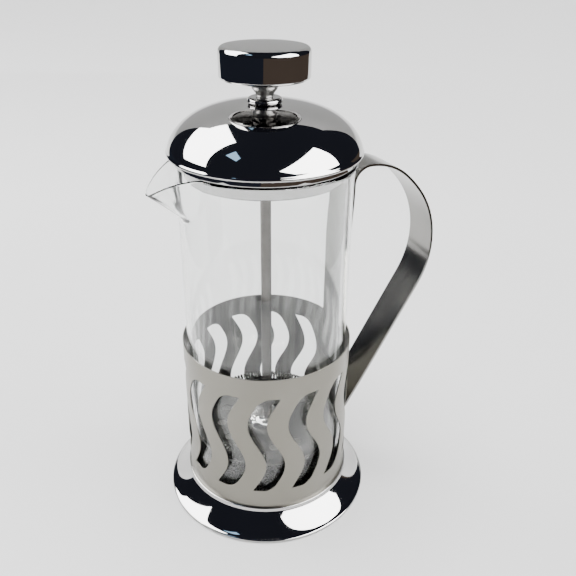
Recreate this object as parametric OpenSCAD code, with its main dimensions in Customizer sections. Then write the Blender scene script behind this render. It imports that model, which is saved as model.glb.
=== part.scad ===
// French press with a slotted steel holder, a glass beaker, a domed lid and a
// plunger. Millimetres, +Z up. The origin is on the vessel's axis at the height
// of the surface it stands on, the handle is at +X and the spout at -X.

/* [Beaker] */
// Outer radius of the glass
glass_r = 32.2; // [26:0.1:39]
// Thickness of the glass wall
glass_wall = 1.8; // [1.4:0.1:2.5]
// Thickness of the glass floor
glass_floor = 2.2; // [1.6:0.1:3]
// Height of the glass
glass_h = 143; // [118:0.5:175]
// How far the rim flares out
flare = 1.2; // [0.4:0.1:1.5]
// Height of the flare
flare_h = 9; // [6:0.5:14]
// How far the spout's tip stands out from the glass
spout_out = 12.1; // [9:0.1:15]
// Depth of the spout's tip below the rim
spout_drop = 6.5; // [4:0.1:8]
// Half of the spout's width where it leaves the rim
spout_half = 12.4; // [9:0.1:15]
// Depth of the spout's root below the rim
spout_root = 18; // [14:0.5:22]

/* [Holder sleeve] */
// Gap between the glass and the handle's strap, which lines the sleeve
strap_gap = 0.3; // [0.2:0.05:0.6]
// Sheet thickness of the sleeve
sleeve_wall = 0.5; // [0.4:0.1:0.8]
// Height of the sleeve's rim above the surface
sleeve_top = 73.6; // [61:0.1:90]
// Height of the seat ring welded inside the sleeve's lower end
seat_z = 3.2; // [2:0.1:4.5]
// Width of the seat ring
seat_w = 6; // [4:0.5:8]
// Thickness of the seat ring
seat_t = 0.5; // [0.4:0.1:1]
// Thickness of the loose base disc on the seat ring
disc_t = 0.6; // [0.5:0.1:1]
// Gap between the base disc and the sleeve
disc_gap = 0.2; // [0.1:0.05:0.5]

/* [Foot] */
// How far the foot's edge stands out from the sleeve
foot_spread = 8.9; // [7:0.1:11]
// Height of the foot's neck above the surface
foot_h = 10.8; // [9:0.1:13]
// Height of the neck's straight part
foot_neck = 1.4; // [1:0.1:2]
// Hollowness of the foot's flare
foot_hollow = 1.25; // [1:0.05:1.6]
// Sheet thickness of the foot
foot_wall = 0.8; // [0.6:0.1:1]
// Radius of the rolled lip under the foot's edge
foot_lip = 0.7; // [0.5:0.1:0.9]

/* [Wave slots] */
// Number of slots
slot_count = 12; // [6:1:12]
// Angle between neighbouring slots, in degrees
slot_pitch = 26.6; // [24:0.1:27]
// Width of a slot, measured along the wall
slot_w = 7.5; // [4:0.1:9]
// Band of sheet above the slots
slot_top_band = 8.55; // [6:0.05:14]
// Band of sheet between the slots and the foot's neck
slot_low_band = 8.75; // [4:0.05:14]
// Sideways swing of a slot's middle line
slot_swing = 3.6; // [0:0.1:4.4]
// Height of one whole wave
slot_wave = 39; // [32:0.5:48]
// Rounding of a slot's two blunt corners
slot_round = 3.4; // [1:0.1:4]

/* [Handle] */
// Width of the handle's strip
strip_w = 15.4; // [12:0.1:18]
// Thickness of the strip
strip_t = 1; // [0.8:0.1:1.2]
// Depth of the handle's top below the glass rim
handle_drop = 5.35; // [4:0.05:9]
// How far the strap reaches down inside the sleeve
strap_lap = 21.6; // [14:0.1:30]
// Radius of the bend from the strap to the top
bend_r = 7.5; // [6.5:0.1:9]
// Radius of the handle's upper curve
upper_r = 25.5; // [22:0.5:30.5]
// Turn of the upper curve, in degrees
upper_turn = 40.5; // [34:0.5:48]
// Radius of the curve above the hand
back_r = 55; // [46:0.5:66]
// Turn of that curve, in degrees
back_turn = 11.1; // [9:0.1:14]
// Radius of the lower curve
lower_r = 38.2; // [32:0.1:42]
// Height of the bend into the welded tab, above the foot's neck
tab_rise = 18.35; // [15:0.05:22]
// Height of the tab
tab_h = 8; // [6:0.5:12]
// Radius of the bend into the tab
tab_bend = 4; // [3:0.5:6]

/* [Lid] */
// How far the lid's rolled rim stands out from the glass rim
lid_over = 1.8; // [1.4:0.1:2.6]
// Rise of the dome above its rim
dome_rise = 16.3; // [13:0.1:20]
// Fullness of the dome's shoulder
dome_full = 2.9; // [2.2:0.1:3.5]
// Roundness of the dome's edge
dome_round = 1.7; // [1.4:0.1:2.2]
// Width of the crown's flat beyond the nut's corners
crown_flat = 1.2; // [0.6:0.1:3]
// Sheet thickness of the lid
lid_wall = 0.7; // [0.5:0.1:0.9]
// Radius of the rolled rim's section
rim_bead = 0.85; // [0.7:0.05:1]
// Gap in height between the glass rim and the lid's rolled rim
rim_gap = 2.3; // [1.6:0.1:4]
// Gap between the lid's collar and the glass
collar_gap = 1; // [0.5:0.1:2]
// Depth of the collar below the glass rim
collar_h = 5.6; // [4:0.1:12]
// Gap between the pan's hole and the rod
pan_gap = 0.4; // [0.2:0.1:1]

/* [Guide bush] */
// Thickness of the shank's wall around the rod
shank_wall = 1.95; // [1.4:0.05:2.6]
// How far the bulged ring stands out from the shank
bush_bulge = 2.2; // [1.6:0.1:2.6]
// Height of the bulged ring
bush_h = 2.2; // [1.6:0.1:3]
// Thickness of the nut under the dome
nut_t = 2.4; // [1.5:0.1:3]
// How far the nut's corners stand out from the shank
nut_wall = 3; // [2.2:0.1:4]
// Length of shank that shows below the nut
shank_tail = 1.5; // [0.5:0.1:3]

/* [Plunger] */
// Radius of the rod
rod_r = 2.05; // [1.7:0.05:2.5]
// Running clearance of the rod in the bush
rod_clear = 0.06; // [0.03:0.01:0.12]
// Gap between the rod and what is screwed or pressed on it
thread_gap = 0.04; // [0.02:0.01:0.08]
// Radius of the knob
knob_r = 15.8; // [12:0.1:19]
// Height of the knob
knob_h = 10.9; // [8.5:0.1:13]
// Rounding of the knob's top edge
knob_top_round = 1.8; // [1.2:0.1:2.4]
// Rounding of the knob's lower edge
knob_low_round = 1.1; // [1:0.1:1.6]
// Sheet thickness of the knob
knob_wall = 0.8; // [0.6:0.1:0.9]
// Width of the knob's turned-in lower edge
knob_turn = 2.2; // [1.8:0.1:3]
// Lap of the closing disc on that edge
knob_lap = 0.5; // [0.3:0.1:0.5]
// Thickness of the insert's wall around the rod
core_wall = 4.95; // [3:0.05:6]
// Thickness of the insert's closed end
core_roof = 1.7; // [1:0.1:3]
// Height of the neck between the bush and the knob
neck_h = 6.2; // [5:0.1:9]
// Height of the neck's straight lower end
neck_foot = 0.3; // [0.2:0.1:1]
// Height over which the neck rounds out to its full width
neck_cup = 3.6; // [2:0.1:4]
// Thickness of the neck's wall at its lower end
neck_wall = 0.95; // [0.8:0.05:1.4]
// How far the neck widens towards the knob
neck_flare = 1.8; // [0.8:0.1:2.5]

/* [Filter] */
// Height of the spring plate above the glass floor, plunger down
filter_lift = 23.4; // [18:0.1:32]
// Clearance between the filter's coil and the glass
coil_clear = 0.3; // [0.2:0.05:0.5]
// Radius of the coil's section
coil_r = 2.1; // [1.7:0.1:2.6]
// Gap between the coil and the plate's turned-up wall
coil_gap = 0.15; // [0.05:0.05:0.4]
// Gap between the coil and the plate under it
coil_lift = 0.5; // [0.1:0.1:0.8]
// Thickness of the filter's plates
plate_t = 0.7; // [0.5:0.1:1]
// Number of holes in the spring plate
plate_holes = 12; // [8:1:14]
// Radius of those holes
plate_hole_r = 2.2; // [1.5:0.1:2.7]
// Distance of the holes' circle inside the coil's middle
hole_inset = 8.4; // [7:0.1:10]
// Radius of the hub's dome
hub_r = 8.5; // [7:0.1:9.5]
// Height of the hub's dome
hub_h = 3.4; // [2.5:0.1:4.5]
// Thickness of the mesh screen
mesh_t = 0.4; // [0.3:0.1:0.6]
// How far the cross plate's edge stays inside the coil's middle
cross_inset = 3.5; // [2.5:0.1:6]
// Number of holes in the cross plate
cross_holes = 6; // [4:1:6]
// Width of plate left inside and outside those holes
cross_rim = 4.85; // [3.8:0.05:6]
// Height of the threaded boss under the cross plate
boss_h = 5; // [4:0.1:7]
// Thickness of the boss's wall around the rod
boss_wall = 2.95; // [2:0.05:4]
// Depth of the rod's lower end inside the boss
rod_tip = 0.6; // [0.2:0.1:1.5]

/* [Hidden] */
$fn = 96;
// Lap between shapes of one piece
eps = 0.01;

steel = "silver";
satin = "darkgray";

// The strap lies between the glass and the sleeve, so the glass sets both
strap_in = glass_r + strap_gap;
sleeve_in = strap_in + strip_t;
sleeve_r = sleeve_in + sleeve_wall;
foot_r = sleeve_r + foot_spread;

// Heights from the seat up to the rim
disc_z = seat_z + seat_t;
glass_z = disc_z + disc_t;
floor_z = glass_z + glass_floor;
rim_z = glass_z + glass_h;
glass_in = glass_r - glass_wall;

// Corners of the glass floor, outside and inside
out_corner = 5;
in_corner = 4;
// The spout is a round-nosed wedge with a smaller one taken out of it
nose_r = 1.2;
channel_r = 0.6;
spout_wall = 1.2;
mouth_wall = 1.6;
spout_tip = [-glass_r - spout_out + nose_r, 0, rim_z - spout_drop - nose_r / 3];
spout_foot = [-glass_in, 0, rim_z - spout_root];

slot_low_z = foot_h + slot_low_band;
slot_h = sleeve_top - slot_top_band - slot_low_z;

// The step in the pan stands just inside the flared glass rim
step_r = glass_r + flare - 0.2;
lid_r = glass_r + flare + lid_over;
lid_z = rim_z + rim_gap;
bead_z = lid_z + rim_bead;
bead_c = lid_r - rim_bead;
// The dome's sheet meets the rolled rim this far inside its edge
dome_r = lid_r - 0.3;
collar_r = glass_in - collar_gap;
collar_z = rim_z - collar_h;

bore_r = rod_r + rod_clear;
bush_shank = rod_r + shank_wall;
bush_r = bush_shank + bush_bulge;
nut_r = bush_shank + nut_wall;
crown_r = nut_r + crown_flat;
function dome_z(r, base_r, rise) =
    bead_z + rise * pow(1 - pow(min(r, base_r) / base_r, dome_full), 1 / dome_round);
crown_z = dome_z(crown_r, dome_r, dome_rise);
dome_top_in = dome_z(crown_r, dome_r - lid_wall, dome_rise - lid_wall);
shank_z = dome_top_in - nut_t - shank_tail;
// Gap between the bush and the hole in the dome, and between its thread and the nut
bush_gap = 0.1;
nut_gap = 0.05;

press_r = rod_r + thread_gap;
neck_low_r = rod_r + neck_wall;
neck_top_r = neck_low_r + neck_flare;
neck_z = crown_z + bush_h;
knob_z = neck_z + neck_h;
knob_top = knob_z + knob_h;
knob_mouth_r = knob_r - knob_turn;
core_z = knob_z + 2 * knob_wall;
core_top = knob_top - knob_wall;
// The rod ends this far under the insert's closed end
rod_end_gap = 0.1;
bore_top = core_top - core_roof;

plate_z = floor_z + filter_lift;
coil_ring = glass_in - coil_clear - coil_r;
coil_z = plate_z + plate_t + coil_r + coil_lift;
coil_wall_r = coil_ring - coil_r - coil_gap;
// How far the edges of the plate and of the screen stay inside the coil's outer edge
plate_inset = 0.7;
mesh_inset = 0.4;
mesh_z = plate_z - mesh_t;
cross_z = mesh_z - plate_t;
cross_r = coil_ring - cross_inset;
boss_r = rod_r + boss_wall;
boss_z = cross_z - boss_h;
cross_hole_ring = (cross_r + boss_r) / 2;
cross_hole_r = (cross_r - boss_r) / 2 - cross_rim;

// The flat strip stands this far off the curved one, so that the two cross cleanly
flat_step = 0.2;
// Height over which the flat and the curved strip lap
lap = 1.2;

// A point at radius r and angle a from a centre, in the handle's plane
function at(c, r, a) = [c[0] + r * cos(a), c[1] + r * sin(a)];

// Centres of the handle's curves, each tangent to the one before it
upper_end = 90 - upper_turn;
back_end = upper_end - back_turn;
handle_top = rim_z - handle_drop;
c_bend = [strap_in + flat_step + bend_r, handle_top - bend_r];
c_upper = [c_bend[0], handle_top - upper_r];
c_back = at(c_upper, upper_r - back_r, upper_end);
c_lower = at(c_back, back_r - lower_r, back_end);
tab_face = sleeve_r + strip_t + flat_step;
c_tab = [tab_face + tab_bend, foot_h + tab_rise];
// The straight touches the lower curve and the tab's bend, on opposite sides
to_tab = c_tab - c_lower;
low_end = atan2(to_tab[1], to_tab[0]) + acos((lower_r + tab_bend) / norm(to_tab));

// A tube of revolution between two radii and two heights
module ring(r_in, r_out, z0, z1) {
    translate([0, 0, z0])
        difference() {
            cylinder(r = r_out, h = z1 - z0);
            translate([0, 0, -1]) cylinder(r = r_in, h = z1 - z0 + 2);
        }
}

// Part of a tube as wide as the strip, centred on +X
module strip_on_wall(r_in, z0, z1) {
    a = 2 * asin(strip_w / 2 / (r_in + strip_t));
    translate([0, 0, z0]) rotate([0, 0, -a / 2])
        rotate_extrude(angle = a) translate([r_in, 0]) square([strip_t, z1 - z0]);
}

// Points along an arc, from angle a0 to angle a1
function arc(c, r, a0, a1, n = 8) = [for (i = [0:n]) at(c, r, a0 + (a1 - a0) * i / n)];

function reversed(list) = [for (i = [len(list) - 1:-1:0]) list[i]];

// Outline of a spun sheet: the outer line, then the inner line back
module spun(outer, inner) {
    rotate_extrude() polygon(concat(outer, reversed(inner)));
}

// Outer line of the foot's flare, from the neck down, set in by d
function foot_line(d, n = 14) = [for (i = [0:n]) let (s = i / n)
    [sleeve_r + foot_wall - d + (foot_spread - foot_lip - foot_wall) * s,
     (foot_h - foot_neck) * pow(1 - s, foot_hollow) + foot_lip * 2 * s - d * s * 0.9]];

module foot_ring() {
    color(steel) {
        spun(concat([[sleeve_r + foot_wall, foot_h]], foot_line(0)),
             concat([[sleeve_r, foot_h]], foot_line(foot_wall)));
        translate([0, 0, foot_lip]) rotate_extrude()
            translate([foot_r - foot_lip, 0]) circle(r = foot_lip);
        ring(foot_r - 2 * foot_lip, foot_r - foot_lip, 0, foot_lip);
    }
}

// Middle line of a slot at height v from its centre
function slot_u(v) = -slot_swing * sin(360 * v / slot_wave);

// How far the rounding takes a slot's edge in, near the end it curves towards
function slot_in(h) = slot_round
    - sqrt(pow(slot_round, 2) - pow(max(0, h - slot_h / 2 + slot_round), 2));

module slot_outline(n = 22) {
    v = [for (i = [0:n]) slot_h / 2 * sin(180 * (i / n - 0.5))];
    polygon(concat([for (h = v) [slot_u(h) - slot_w / 2 + slot_in(h), h]],
                   [for (h = reversed(v)) [slot_u(h) + slot_w / 2 - slot_in(-h), h]]));
}

module sleeve() {
    color(satin) difference() {
        ring(sleeve_in, sleeve_r, seat_z, sleeve_top);
        for (i = [0:slot_count - 1])
            rotate([0, 0, 180 + (i - (slot_count - 1) / 2) * slot_pitch])
                translate([sleeve_in - 2, 0, slot_low_z + slot_h / 2]) rotate([90, 0, 90])
                    linear_extrude(height = sleeve_wall + 4) slot_outline();
    }
}

module seat_ring() {
    color(satin) ring(sleeve_in - seat_w, sleeve_in, seat_z, disc_z);
}

module base_disc() {
    color(steel) translate([0, 0, disc_z]) cylinder(r = sleeve_in - disc_gap, h = disc_t);
}

// The loop's side view, set in by d: up the strap, over the hand, down to the tab
function loop_line(d) = concat(
    [[strap_in + flat_step + d, c_bend[1] - lap]],
    arc(c_bend, bend_r - d, 180, 90),
    arc(c_upper, upper_r - d, 90, upper_end),
    arc(c_back, back_r - d, upper_end, back_end, 4),
    arc(c_lower, lower_r - d, back_end, low_end, 12),
    arc(c_tab, tab_bend + d, 180 + low_end, 180, 4),
    [[tab_face - d, c_tab[1] - lap]]);

module handle() {
    color(satin) {
        strip_on_wall(strap_in, sleeve_top - strap_lap, c_bend[1] - lap / 2);
        translate([0, strip_w / 2, 0]) rotate([90, 0, 0]) linear_extrude(height = strip_w)
            polygon(concat(loop_line(0), reversed(loop_line(strip_t))));
        strip_on_wall(sleeve_r, c_tab[1] - tab_h, c_tab[1] - lap / 2);
    }
}

// Side of the glass: radius at height z for a wall of radius r
function flare_at(z) = flare * pow(max(0, (z - rim_z + flare_h) / flare_h), 2);
function side_line(r, n = 8) = [for (i = [0:n]) let (z = rim_z - flare_h * (1 - i / n))
    [r + flare_at(z), z]];

// A round-nosed wedge from the tip to both ends of the mouth and to the root
module spout_wedge(tip, root, half, nose) {
    hull() {
        translate(tip) sphere(r = nose, $fn = 24);
        for (s = [-1, 1]) translate([root[0], s * half, rim_z - nose]) sphere(r = nose, $fn = 24);
        translate(root) sphere(r = nose, $fn = 24);
    }
}

module beaker() {
    color("lightcyan", 0.4) difference() {
        union() {
            rotate_extrude() polygon(concat(
                [[0, glass_z]],
                arc([glass_r - out_corner, glass_z + out_corner], out_corner, -90, 0),
                side_line(glass_r), [[0, rim_z]]));
            spout_wedge(spout_tip, spout_foot, spout_half, nose_r);
        }
        rotate_extrude() polygon(concat(
            [[0, floor_z]],
            arc([glass_in - in_corner, floor_z + in_corner], in_corner, -90, 0),
            side_line(glass_in), [[glass_in + flare, rim_z + 1], [0, rim_z + 1]]));
        hull() for (rise = [0, spout_drop + 2])
            translate([0, 0, rise])
                spout_wedge(spout_tip + spout_wall * [1, 0, 1], spout_foot + spout_wall * [2, 0, 2],
                            spout_half - mouth_wall, channel_r);
    }
}

// Outline of the dome from the crown to the rim
function dome_line(base_r, rise, n = 26) = [for (i = [0:n])
    let (r = crown_r + (base_r - crown_r) * sin(90 * i / n)) [r, dome_z(r, base_r, rise)]];

module lid_dome() {
    color(steel) difference() {
        union() {
            spun(concat([[bush_shank + bush_gap, crown_z]], dome_line(dome_r, dome_rise)),
                 concat([[bush_shank + bush_gap, dome_top_in]],
                        dome_line(dome_r - lid_wall, dome_rise - lid_wall)));
            translate([0, 0, bead_z]) rotate_extrude() translate([bead_c, 0]) circle(r = rim_bead);
        }
        ring(step_r - 1, bead_c, bead_z - lid_wall, bead_z - lid_wall / 3);
    }
}

module lid_pan() {
    color(steel) {
        ring(rod_r + pan_gap, collar_r, collar_z, collar_z + lid_wall);
        ring(collar_r - lid_wall, collar_r, collar_z, rim_z + lid_wall);
        ring(collar_r - lid_wall, step_r, rim_z, rim_z + lid_wall);
        ring(step_r - lid_wall, step_r, rim_z, bead_z - lid_wall / 3);
        ring(step_r - lid_wall, bead_c, bead_z - lid_wall, bead_z - lid_wall / 3);
    }
}

module guide_bush() {
    color(steel) difference() {
        union() {
            translate([0, 0, shank_z]) cylinder(r = bush_shank, h = crown_z - shank_z + eps);
            translate([0, 0, crown_z + bush_h / 2]) rotate_extrude() {
                translate([bush_r - bush_h / 2, 0]) circle(r = bush_h / 2);
                translate([0, -bush_h / 2]) square([bush_r - bush_h / 2, bush_h]);
            }
        }
        translate([0, 0, shank_z - 1]) cylinder(r = bore_r, h = neck_z - shank_z + 2);
    }
}

module bush_nut() {
    color(steel) translate([0, 0, dome_top_in - nut_t]) difference() {
        cylinder(r = nut_r, h = nut_t, $fn = 6);
        translate([0, 0, -1]) cylinder(r = bush_shank + nut_gap, h = nut_t + 2);
    }
}

// Outline of the knob's skin, set in by d
function knob_line(d) = concat(
    [[0, knob_top - d]],
    arc([knob_r - knob_top_round, knob_top - knob_top_round], knob_top_round - d, 90, 0),
    arc([knob_r - knob_low_round, knob_z + knob_low_round], knob_low_round - d, 0, -90, 5));

module knob_shell() {
    color(steel) difference() {
        rotate_extrude() polygon(concat(knob_line(0), [[0, knob_z]]));
        rotate_extrude() polygon(concat(knob_line(knob_wall), [[0, knob_z + knob_wall]]));
        translate([0, 0, knob_z - 1]) cylinder(r = knob_mouth_r, h = knob_wall + 2);
    }
}

module knob_base() {
    color(steel) ring(press_r, knob_mouth_r + knob_lap, knob_z + knob_wall, core_z);
}

module knob_core() {
    color("dimgray") difference() {
        translate([0, 0, core_z]) cylinder(r = rod_r + core_wall, h = core_top - core_z);
        translate([0, 0, core_z - 1]) cylinder(r = press_r, h = bore_top - core_z + 1);
    }
}

module knob_neck() {
    n = 10;
    cup = [for (i = [0:n]) let (s = i / n)
        [neck_low_r + neck_flare * (1 - cos(180 * s)) / 2, neck_z + neck_foot + neck_cup * s]];
    color(steel) difference() {
        union() {
            rotate_extrude() polygon(concat([[0, neck_z], [neck_low_r, neck_z]], cup,
                                            [[neck_top_r, knob_z], [0, knob_z]]));
            translate([0, 0, knob_z - eps]) cylinder(r = neck_top_r, h = knob_wall + eps);
        }
        translate([0, 0, neck_z - 1]) cylinder(r = press_r, h = neck_h + knob_wall + 2);
    }
}

module plunger_rod() {
    color(satin) translate([0, 0, boss_z + rod_tip])
        cylinder(r = rod_r, h = bore_top - rod_end_gap - boss_z - rod_tip);
}

module hub_cap() {
    ball_r = (hub_r * hub_r + hub_h * hub_h) / (2 * hub_h);
    base_z = plate_z + plate_t;
    color(steel) difference() {
        intersection() {
            translate([0, 0, base_z + hub_h - ball_r]) sphere(r = ball_r);
            translate([0, 0, base_z]) cylinder(r = hub_r + 1, h = hub_h + 1);
        }
        translate([0, 0, base_z - 1]) cylinder(r = press_r, h = hub_h + 3);
    }
}

// The part of a plate's pattern that repeats round the axis
module around(count, radius) {
    for (i = [0:count - 1])
        rotate([0, 0, 360 * (i + 0.5) / count]) translate([radius, 0, 0]) children();
}

module spring_plate() {
    color(steel) difference() {
        union() {
            ring(press_r, coil_ring + coil_r - plate_inset, plate_z, plate_z + plate_t);
            ring(coil_wall_r - plate_t, coil_wall_r, plate_z, coil_z);
        }
        around(plate_holes, coil_ring - hole_inset)
            translate([0, 0, plate_z - 1]) cylinder(r = plate_hole_r, h = plate_t + 2);
    }
}

module coil_spring() {
    color(satin) translate([0, 0, coil_z])
        rotate_extrude() translate([coil_ring, 0]) circle(r = coil_r);
}

module mesh_screen() {
    color("gray") ring(press_r, coil_ring + coil_r - mesh_inset, mesh_z, plate_z);
}

module cross_plate() {
    color(steel) difference() {
        ring(press_r, cross_r, cross_z, mesh_z);
        around(cross_holes, cross_hole_ring)
            translate([0, 0, cross_z - 1]) cylinder(r = cross_hole_r, h = plate_t + 2);
    }
}

module lower_boss() {
    color(steel) ring(press_r, boss_r, boss_z, cross_z);
}

foot_ring();
sleeve();
seat_ring();
base_disc();
handle();
beaker();
lid_dome();
lid_pan();
guide_bush();
bush_nut();
knob_shell();
knob_base();
knob_core();
knob_neck();
plunger_rod();
hub_cap();
spring_plate();
coil_spring();
mesh_screen();
cross_plate();
lower_boss();
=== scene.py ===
import math

import bmesh
import bpy
from mathutils import Matrix, Vector


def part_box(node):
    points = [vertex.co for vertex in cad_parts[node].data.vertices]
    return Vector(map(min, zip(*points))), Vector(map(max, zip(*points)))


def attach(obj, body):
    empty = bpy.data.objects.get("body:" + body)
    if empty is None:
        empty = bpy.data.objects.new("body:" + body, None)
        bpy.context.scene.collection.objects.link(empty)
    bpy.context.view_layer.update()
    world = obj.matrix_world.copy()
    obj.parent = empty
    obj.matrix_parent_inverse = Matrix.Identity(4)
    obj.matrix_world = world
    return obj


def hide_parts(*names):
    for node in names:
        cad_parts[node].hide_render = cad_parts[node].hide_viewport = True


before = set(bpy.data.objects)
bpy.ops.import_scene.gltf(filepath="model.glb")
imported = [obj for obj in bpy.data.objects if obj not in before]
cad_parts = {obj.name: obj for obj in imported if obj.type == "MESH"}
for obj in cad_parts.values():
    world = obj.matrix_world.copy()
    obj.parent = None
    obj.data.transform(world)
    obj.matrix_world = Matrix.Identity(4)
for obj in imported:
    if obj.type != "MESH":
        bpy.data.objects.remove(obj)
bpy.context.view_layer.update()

mm = 0.001
fullTurn = 2 * math.pi
# gaps between parts that touch, and how near two points are to be merged
fit = {"touching": 0.02 * mm, "onRod": 0.04 * mm, "merge": 1e-6, "mergeFine": 1e-7,
       "mergeSeam": 2e-6}
print("frame loaded:", len(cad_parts), "nodes")


def top(node):
    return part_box(node)[1].z


def bottom(node):
    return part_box(node)[0].z


def radiusOf(node):
    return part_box(node)[1].y


def rodBore():
    return radiusOf("plunger_rod") + fit["onRod"]


def smooth(s):
    # 0 to 1, easing in and out
    s = min(1, max(0, s))
    return s * s * (3 - 2 * s)


def arc(centre, radius, start, end, steps=8):
    # points on an arc in the side view, angles in degrees
    turns = [math.radians(start + (end - start) * i / steps) for i in range(steps + 1)]
    return [(centre[0] + radius * math.cos(t), centre[1] + radius * math.sin(t)) for t in turns]


def sideWire(bm, points, closed=True):
    # a line in the XZ plane, from points of radius and height
    verts = [bm.verts.new((x, 0, z)) for x, z in points]
    pairs = list(zip(verts, verts[1:]))
    if closed:
        pairs.append((verts[-1], verts[0]))
    return verts, [bm.edges.new(pair) for pair in pairs]


def roundCorners(bm, corners, radius, segments=4):
    bmesh.ops.bevel(bm, geom=corners, offset=radius, offset_type="OFFSET", affect="VERTICES",
                    segments=segments, profile=0.5, material=-1, clamp_overlap=True)


def spinRound(bm, steps=160):
    bmesh.ops.spin(bm, geom=bm.verts[:] + bm.edges[:], cent=(0, 0, 0), axis=(0, 0, 1),
                   angle=fullTurn, steps=steps, use_merge=True)
    bmesh.ops.remove_doubles(bm, verts=bm.verts[:], dist=fit["merge"])
    bmesh.ops.recalc_face_normals(bm, faces=bm.faces[:])


def turned(points, corners=(), steps=160):
    # spins a closed side outline, after rounding the corners given as (index, radius)
    bm = bmesh.new()
    verts, _ = sideWire(bm, points)
    for index, radius in corners:
        roundCorners(bm, [verts[index]], radius)
    spinRound(bm, steps)
    return bm


def circleWire(bm, centre, radius, steps):
    bmesh.ops.create_circle(bm, cap_ends=False, radius=radius, segments=steps,
                            matrix=Matrix.Translation(centre))


def markSharp(bm, angle):
    # every face is shaded smooth, except across edges steeper than the angle
    for edge in bm.edges:
        edge.smooth = len(edge.link_faces) == 2 and edge.calc_face_angle() < math.radians(angle)
    for face in bm.faces:
        face.smooth = True


def makePiece(name, bm, body, material, nodes=(), sharp=38):
    # turns the bmesh into a finished piece that rides on its body
    markSharp(bm, sharp)
    mesh = bpy.data.meshes.new(name)
    bm.to_mesh(mesh)
    bm.free()
    piece = bpy.data.objects.new(name, mesh)
    bpy.context.scene.collection.objects.link(piece)
    mesh.materials.append(material)
    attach(piece, body)
    if nodes:
        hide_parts(*nodes)
    return piece


def addSolidify(piece, thickness, offset):
    made = piece.modifiers.new("wall", "SOLIDIFY")
    made.thickness = thickness
    made.offset = offset
    made.use_even_offset = True


def addBevel(piece, width, segments=2, angle=50):
    made = piece.modifiers.new("edge", "BEVEL")
    made.width = width
    made.segments = segments
    made.limit_method = "ANGLE"
    made.angle_limit = math.radians(angle)
    made.harden_normals = True


def newMaterial(name):
    material = bpy.data.materials.new(name)
    material.use_nodes = True
    tree = material.node_tree
    shader = tree.nodes["Principled BSDF"]
    return material, tree, shader


def addNode(tree, kind, **inputs):
    node = tree.nodes.new(kind)
    for key, value in inputs.items():
        node.inputs[key].default_value = value
    return node


def objectPattern(tree, scale):
    # object coordinates, stretched along the grain
    place = tree.nodes.new("ShaderNodeTexCoord")
    mapping = tree.nodes.new("ShaderNodeMapping")
    mapping.inputs["Scale"].default_value = scale
    tree.links.new(place.outputs["Object"], mapping.inputs["Vector"])
    return mapping.outputs["Vector"]


def noise(tree, vector, scale, detail=3.0, roughness=0.55):
    node = addNode(tree, "ShaderNodeTexNoise", Scale=scale, Detail=detail, Roughness=roughness)
    tree.links.new(vector, node.inputs["Vector"])
    return node.outputs["Fac"]


noiseSpan = (0.3, 0.7)


def spread(tree, value, low, high):
    # stretches noise, which rarely leaves its middle span, to low and high
    node = tree.nodes.new("ShaderNodeMapRange")
    node.inputs["From Min"].default_value = noiseSpan[0]
    node.inputs["From Max"].default_value = noiseSpan[1]
    node.inputs["To Min"].default_value = low
    node.inputs["To Max"].default_value = high
    tree.links.new(value, node.inputs["Value"])
    return node.outputs["Result"]


def colourBetween(tree, value, dark, light):
    node = tree.nodes.new("ShaderNodeMix")
    node.data_type = "RGBA"
    node.inputs["A"].default_value = (*dark, 1)
    node.inputs["B"].default_value = (*light, 1)
    tree.links.new(value, node.inputs["Factor"])
    return node.outputs["Result"]


def addBump(tree, shader, height, strength, distance):
    node = addNode(tree, "ShaderNodeBump", Strength=strength, Distance=distance)
    tree.links.new(height, node.inputs["Height"])
    tree.links.new(node.outputs["Normal"], shader.inputs["Normal"])


steelNoise = {"grainDetail": 4.0, "grainRough": 0.6, "cloudDetail": 2.0, "bumpDepth": 0.02 * mm}


def steelMaterial(name, look):
    # brushed or polished steel: fine grain in roughness and bump, faint clouding in colour
    material, tree, shader = newMaterial(name)
    shader.inputs["Metallic"].default_value = 1.0
    grain = noise(tree, objectPattern(tree, look["grain"]), 1.0, steelNoise["grainDetail"],
                  steelNoise["grainRough"])
    cloud = noise(tree, objectPattern(tree, (1, 1, 1)), look["cloudScale"],
                  steelNoise["cloudDetail"])
    base = colourBetween(tree, spread(tree, cloud, 0, 1), look["dark"], look["light"])
    tree.links.new(base, shader.inputs["Base Color"])
    rough = spread(tree, grain, look["roughLow"], look["roughHigh"])
    tree.links.new(rough, shader.inputs["Roughness"])
    addBump(tree, shader, grain, look["bump"], steelNoise["bumpDepth"])
    return material


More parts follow.
